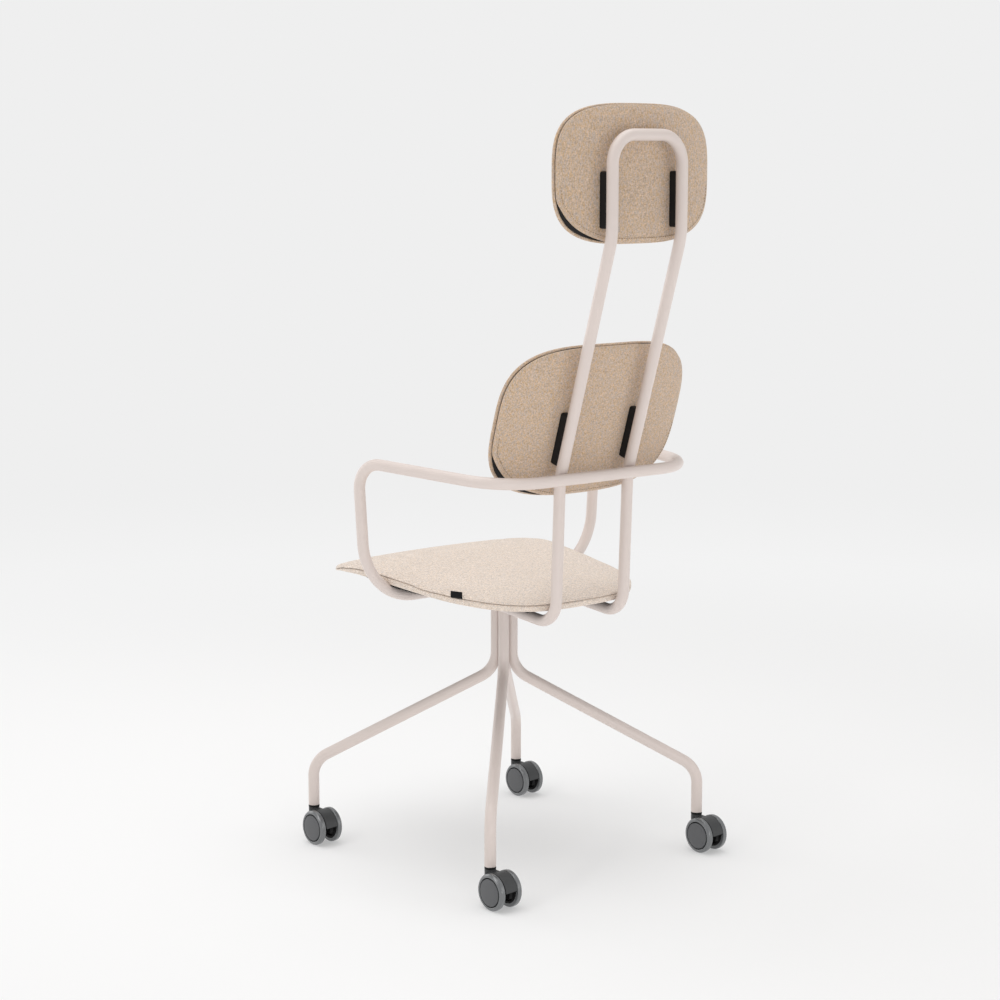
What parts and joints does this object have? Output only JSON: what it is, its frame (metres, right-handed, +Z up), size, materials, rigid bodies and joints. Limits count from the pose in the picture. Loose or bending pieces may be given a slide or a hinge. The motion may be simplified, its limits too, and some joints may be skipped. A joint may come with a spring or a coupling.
{
  "type": "conference chair",
  "caption": "High-backed upholstered conference chair with a head pad, tube arms and a swivelling seat on a tube base with twin-wheel casters.",
  "frame": {"origin": "on the floor under the swivel axis", "axes": "+Z up along the swivel axis, +Y to the rear of the chair, +X to the sitter's left"},
  "size_m": [0.5438, 0.6028, 1.2648],
  "materials": {
    "frame_paint": "satin warm grey powder coat on bent steel tube",
    "zinc_steel": "zinc plated steel",
    "black_plastic": "black moulded plastic",
    "acetal": "natural acetal",
    "upholstery": "beige melange wool blend over foam",
    "caster_plastic": "dark grey moulded nylon",
    "tread_rubber": "soft grey polyurethane tread",
    "black_tab": "plain black woven tab"
  },
  "bodies": {
    "base": {"leg_tube_1": "frame_paint", "leg_tube_2": "frame_paint", "leg_tube_3": "frame_paint", "leg_tube_4": "frame_paint", "hub_disc": "frame_paint", "swivel_spindle": "zinc_steel", "thrust_washer": "acetal", "retaining_washer": "zinc_steel", "swivel_bolt": "zinc_steel", "caster_sockets": "black_plastic", "caster_stems": "zinc_steel"},
    "seat_assembly": {"swivel_housing": "frame_paint", "swivel_bush": "acetal", "seat_plate": "frame_paint", "back_frame_tube": "frame_paint", "run_end_plugs": "black_plastic", "arm_tube": "frame_paint", "seat_pan": "black_plastic", "seat_band": "upholstery", "seat_cushion": "upholstery", "seat_bracket_left": "black_plastic", "seat_bracket_right": "black_plastic", "seat_screws": "zinc_steel", "seat_tab": "black_tab", "headrest_rear_cover": "upholstery", "headrest_shell": "black_plastic", "headrest_cushion": "upholstery", "headrest_bracket_left": "black_plastic", "headrest_bracket_right": "black_plastic", "headrest_screws": "zinc_steel", "backrest_rear_cover": "upholstery", "backrest_shell": "black_plastic", "backrest_cushion": "upholstery", "backrest_bracket_left": "black_plastic", "backrest_bracket_right": "black_plastic", "backrest_screws": "zinc_steel"},
    "caster_1": {"caster_1_housing": "caster_plastic", "caster_1_axle": "zinc_steel"},
    "caster_1_left_wheel": {"caster_1_left_wheel_core": "caster_plastic", "caster_1_left_tread": "tread_rubber"},
    "caster_1_right_wheel": {"caster_1_right_wheel_core": "caster_plastic", "caster_1_right_tread": "tread_rubber"},
    "caster_2": {"caster_2_housing": "caster_plastic", "caster_2_axle": "zinc_steel"},
    "caster_2_left_wheel": {"caster_2_left_wheel_core": "caster_plastic", "caster_2_left_tread": "tread_rubber"},
    "caster_2_right_wheel": {"caster_2_right_wheel_core": "caster_plastic", "caster_2_right_tread": "tread_rubber"},
    "caster_3": {"caster_3_housing": "caster_plastic", "caster_3_axle": "zinc_steel"},
    "caster_3_left_wheel": {"caster_3_left_wheel_core": "caster_plastic", "caster_3_left_tread": "tread_rubber"},
    "caster_3_right_wheel": {"caster_3_right_wheel_core": "caster_plastic", "caster_3_right_tread": "tread_rubber"},
    "caster_4": {"caster_4_housing": "caster_plastic", "caster_4_axle": "zinc_steel"},
    "caster_4_left_wheel": {"caster_4_left_wheel_core": "caster_plastic", "caster_4_left_tread": "tread_rubber"},
    "caster_4_right_wheel": {"caster_4_right_wheel_core": "caster_plastic", "caster_4_right_tread": "tread_rubber"}
  },
  "joints": [
    {"name": "seat_swivel", "type": "hinge", "parent": "base", "child": "seat_assembly", "pos_m": [0, 0, 0.44], "axis": [0, 0, 1], "continuous": true},
    {"name": "caster_1_swivel", "type": "hinge", "parent": "base", "child": "caster_1", "pos_m": [0.23174, 0.23914, 0.06], "axis": [0, 0, 1], "continuous": true},
    {"name": "caster_1_left_roll", "type": "hinge", "parent": "caster_1", "child": "caster_1_left_wheel", "pos_m": [0.23174, 0.26314, 0.03], "axis": [1, 0, 0], "continuous": true},
    {"name": "caster_1_right_roll", "type": "hinge", "parent": "caster_1", "child": "caster_1_right_wheel", "pos_m": [0.23174, 0.26314, 0.03], "axis": [1, 0, 0], "continuous": true},
    {"name": "caster_2_swivel", "type": "hinge", "parent": "base", "child": "caster_2", "pos_m": [-0.23914, 0.23174, 0.06], "axis": [0, 0, 1], "continuous": true},
    {"name": "caster_2_left_roll", "type": "hinge", "parent": "caster_2", "child": "caster_2_left_wheel", "pos_m": [-0.23914, 0.25574, 0.03], "axis": [1, 0, 0], "continuous": true},
    {"name": "caster_2_right_roll", "type": "hinge", "parent": "caster_2", "child": "caster_2_right_wheel", "pos_m": [-0.23914, 0.25574, 0.03], "axis": [1, 0, 0], "continuous": true},
    {"name": "caster_3_swivel", "type": "hinge", "parent": "base", "child": "caster_3", "pos_m": [-0.23174, -0.23914, 0.06], "axis": [0, 0, 1], "continuous": true},
    {"name": "caster_3_left_roll", "type": "hinge", "parent": "caster_3", "child": "caster_3_left_wheel", "pos_m": [-0.23174, -0.21514, 0.03], "axis": [1, 0, 0], "continuous": true},
    {"name": "caster_3_right_roll", "type": "hinge", "parent": "caster_3", "child": "caster_3_right_wheel", "pos_m": [-0.23174, -0.21514, 0.03], "axis": [1, 0, 0], "continuous": true},
    {"name": "caster_4_swivel", "type": "hinge", "parent": "base", "child": "caster_4", "pos_m": [0.23914, -0.23174, 0.06], "axis": [0, 0, 1], "continuous": true},
    {"name": "caster_4_left_roll", "type": "hinge", "parent": "caster_4", "child": "caster_4_left_wheel", "pos_m": [0.23914, -0.20774, 0.03], "axis": [1, 0, 0], "continuous": true},
    {"name": "caster_4_right_roll", "type": "hinge", "parent": "caster_4", "child": "caster_4_right_wheel", "pos_m": [0.23914, -0.20774, 0.03], "axis": [1, 0, 0], "continuous": true}
  ]
}
